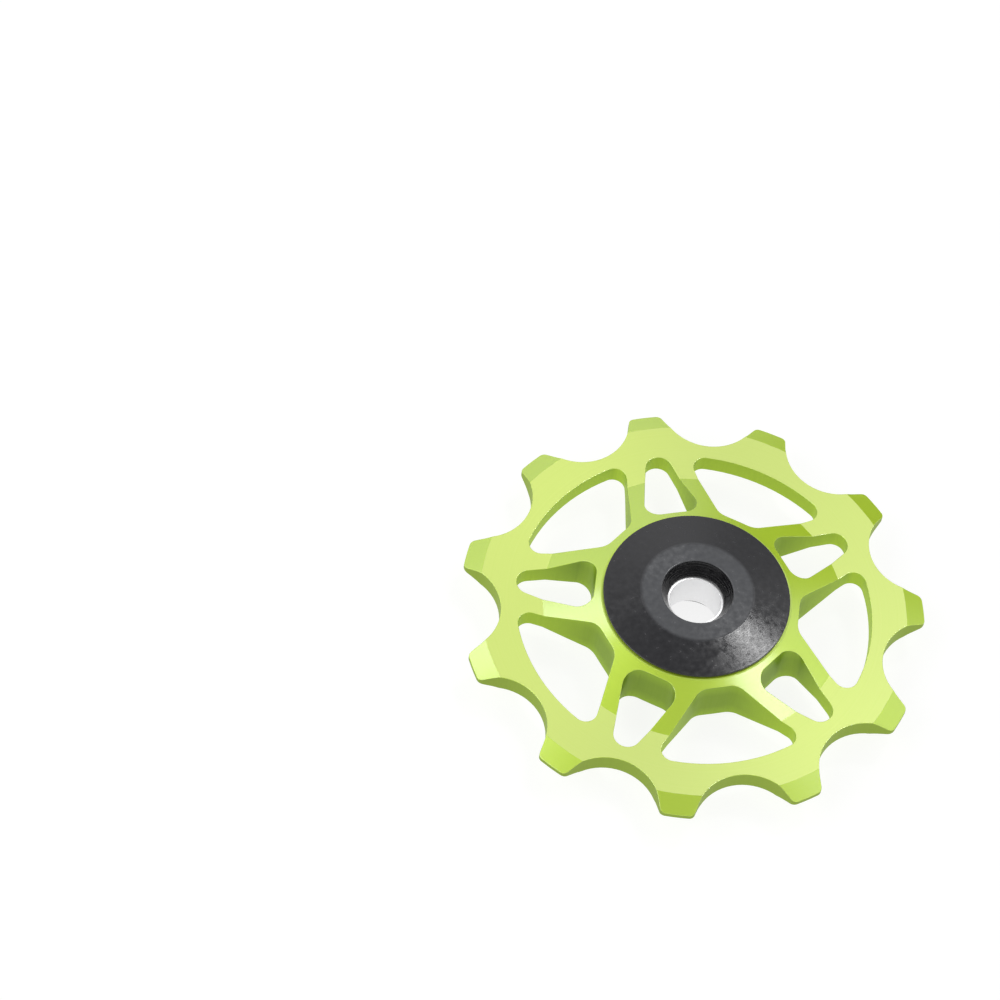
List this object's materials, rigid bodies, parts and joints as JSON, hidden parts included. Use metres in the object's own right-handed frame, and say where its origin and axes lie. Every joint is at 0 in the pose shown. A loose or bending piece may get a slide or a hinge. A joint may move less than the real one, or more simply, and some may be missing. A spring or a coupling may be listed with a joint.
{
  "type": "derailleur jockey wheel",
  "caption": "Skeleton alloy pulley with facetted chain teeth and dark dust caps, turning on a sealed ball bearing about a bolt; it guides and tensions a bicycle chain in a derailleur cage.",
  "frame": {"origin": "centre of the bolt bore, on the middle plane of the teeth", "axes": "+Z along the bolt axis, up as the wheel lies flat; one tooth and one slim window point along +Y"},
  "size_m": [0.0448, 0.0444, 0.0074],
  "materials": {
    "wheel_alloy": "satin lime-green anodising over fine turning marks",
    "cap_alloy": "black anodising over a turned face",
    "bush_steel": "bright reamed steel",
    "race_steel": "ground bearing steel",
    "ball_steel": "polished bearing steel",
    "cage_nylon": "moulded natural nylon",
    "seal_rubber": "moulded black rubber"
  },
  "bodies": {
    "axle_stack": {"upper_cap": "cap_alloy", "lower_cap": "cap_alloy", "centre_bush": "bush_steel", "inner_race": "race_steel"},
    "wheel": {"toothed_wheel": "wheel_alloy", "outer_race": "race_steel", "upper_seal": "seal_rubber", "lower_seal": "seal_rubber"},
    "cage": {"ball_cage": "cage_nylon"},
    "ball_1": {"ball_1": "ball_steel"},
    "ball_2": {"ball_2": "ball_steel"},
    "ball_3": {"ball_3": "ball_steel"},
    "ball_4": {"ball_4": "ball_steel"},
    "ball_5": {"ball_5": "ball_steel"},
    "ball_6": {"ball_6": "ball_steel"},
    "ball_7": {"ball_7": "ball_steel"},
    "ball_8": {"ball_8": "ball_steel"},
    "ball_9": {"ball_9": "ball_steel"}
  },
  "joints": [
    {"name": "wheel_spin", "type": "hinge", "parent": "axle_stack", "child": "wheel", "pos_m": [0, 0, 0], "axis": [0, 0, 1], "continuous": true},
    {"name": "cage_spin", "type": "hinge", "parent": "axle_stack", "child": "cage", "pos_m": [0, 0, 0], "axis": [0, 0, 1], "continuous": true},
    {"name": "ball_1_roll", "type": "hinge", "parent": "cage", "child": "ball_1", "pos_m": [0, 0.006, 0], "axis": [0, 0, 1], "continuous": true},
    {"name": "ball_2_roll", "type": "hinge", "parent": "cage", "child": "ball_2", "pos_m": [-0.00386, 0.0046, 0], "axis": [0, 0, 1], "continuous": true},
    {"name": "ball_3_roll", "type": "hinge", "parent": "cage", "child": "ball_3", "pos_m": [-0.00591, 0.00104, 0], "axis": [0, 0, 1], "continuous": true},
    {"name": "ball_4_roll", "type": "hinge", "parent": "cage", "child": "ball_4", "pos_m": [-0.0052, -0.003, 0], "axis": [0, 0, 1], "continuous": true},
    {"name": "ball_5_roll", "type": "hinge", "parent": "cage", "child": "ball_5", "pos_m": [-0.00205, -0.00564, 0], "axis": [0, 0, 1], "continuous": true},
    {"name": "ball_6_roll", "type": "hinge", "parent": "cage", "child": "ball_6", "pos_m": [0.00205, -0.00564, 0], "axis": [0, 0, 1], "continuous": true},
    {"name": "ball_7_roll", "type": "hinge", "parent": "cage", "child": "ball_7", "pos_m": [0.0052, -0.003, 0], "axis": [0, 0, 1], "continuous": true},
    {"name": "ball_8_roll", "type": "hinge", "parent": "cage", "child": "ball_8", "pos_m": [0.00591, 0.00104, 0], "axis": [0, 0, 1], "continuous": true},
    {"name": "ball_9_roll", "type": "hinge", "parent": "cage", "child": "ball_9", "pos_m": [0.00386, 0.0046, 0], "axis": [0, 0, 1], "continuous": true}
  ],
  "couplings": [
    {"joint": "cage_spin", "follows": "wheel_spin", "ratio": 0.59917},
    {"joint": "ball_1_roll", "follows": "wheel_spin", "ratio": 2.4218},
    {"joint": "ball_2_roll", "follows": "wheel_spin", "ratio": 2.4218},
    {"joint": "ball_3_roll", "follows": "wheel_spin", "ratio": 2.4218},
    {"joint": "ball_4_roll", "follows": "wheel_spin", "ratio": 2.4218},
    {"joint": "ball_5_roll", "follows": "wheel_spin", "ratio": 2.4218},
    {"joint": "ball_6_roll", "follows": "wheel_spin", "ratio": 2.4218},
    {"joint": "ball_7_roll", "follows": "wheel_spin", "ratio": 2.4218},
    {"joint": "ball_8_roll", "follows": "wheel_spin", "ratio": 2.4218},
    {"joint": "ball_9_roll", "follows": "wheel_spin", "ratio": 2.4218}
  ]
}
